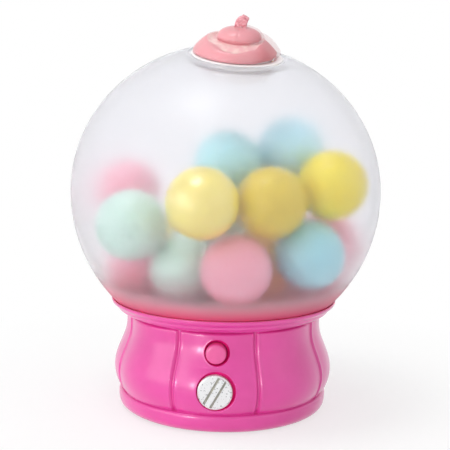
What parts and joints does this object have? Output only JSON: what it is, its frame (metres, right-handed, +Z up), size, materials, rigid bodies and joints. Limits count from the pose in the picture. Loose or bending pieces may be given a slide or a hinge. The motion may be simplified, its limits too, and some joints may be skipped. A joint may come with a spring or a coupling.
{
  "type": "toy gumball machine",
  "caption": "Small toy gumball machine: frosted globe of gumballs on a fluted base, with a turning coin knob, a push button and a lift-off swirl cap.",
  "frame": {"origin": "middle of the footprint, on the table under the feet", "axes": "+Z up along the globe's axis; -Y out of the front, through the knob and the button; the port and its cap lean forwards, a little towards +X"},
  "size_m": [0.07, 0.07, 0.089],
  "materials": {
    "base_pink": "satin",
    "button_pink": "satin",
    "frosted_clear": "frosted",
    "clear_seal": "translucent",
    "clear_plug": "translucent",
    "seal_rubber": "matte",
    "swirl_pink": "satin",
    "silver_paint": "painted silver",
    "steel": "brushed",
    "brass": "machined",
    "white_plastic": "matte",
    "foot_rubber": "matte",
    "gumball_mint": "satin",
    "gumball_yellow": "satin",
    "gumball_amber": "satin",
    "gumball_pink": "satin",
    "gumball_blue": "satin",
    "gumball_pale_blue": "satin",
    "gumball_teal": "satin",
    "gumball_orange": "satin"
  },
  "bodies": {
    "housing": {"base_shell": "base_pink", "base_plate": "base_pink", "base_screws": "steel", "feet": "foot_rubber", "bearing_deck": "white_plastic", "spindle_bush": "brass", "ring_screws": "steel", "globe": "frosted_clear", "globe_ring": "base_pink", "port_seal": "clear_seal", "knob_bush": "brass", "button_spring": "steel"},
    "tumbler": {"turntable": "base_pink", "spindle": "steel", "crown_gear": "white_plastic", "spindle_clip": "steel", "gumball_1": "gumball_mint", "gumball_2": "gumball_yellow", "gumball_3": "gumball_pink", "gumball_4": "gumball_blue", "gumball_5": "gumball_yellow", "gumball_6": "gumball_amber", "gumball_7": "gumball_mint", "gumball_8": "gumball_teal", "gumball_9": "gumball_pale_blue", "gumball_10": "gumball_pink", "gumball_11": "gumball_pink", "gumball_12": "gumball_orange", "gumball_13": "gumball_yellow", "gumball_14": "gumball_blue", "gumball_15": "gumball_pink", "gumball_16": "gumball_mint", "gumball_17": "gumball_orange", "gumball_18": "gumball_pale_blue"},
    "knob": {"coin_knob": "silver_paint", "knob_shaft": "steel", "pinion": "white_plastic", "knob_clip": "steel"},
    "button": {"push_button": "button_pink", "button_clip": "steel"},
    "cap": {"swirl_cap": "swirl_pink", "cap_plug": "clear_plug", "cap_seal": "seal_rubber"}
  },
  "joints": [
    {"name": "turntable_turn", "type": "hinge", "parent": "housing", "child": "tumbler", "pos_m": [0, 0, 0.0222], "axis": [0, 0, 1], "continuous": true},
    {"name": "knob_turn", "type": "hinge", "parent": "housing", "child": "knob", "pos_m": [0, -0.0231, 0.0097], "axis": [0, 1, 0], "continuous": true},
    {"name": "button_press", "type": "slide", "parent": "housing", "child": "button", "axis": [0, 1, 0], "range_m": [0, 0.001], "stiffness_N_per_m": 400, "springref_m": -0.0005, "deforming": ["button_spring"]},
    {"name": "cap_lift", "type": "slide", "parent": "housing", "child": "cap", "axis": [0.0743, -0.2159, 0.9736], "range_m": [0, 0.02]}
  ],
  "couplings": [
    {"joint": "knob_turn", "follows": "turntable_turn", "ratio": 2.5}
  ]
}
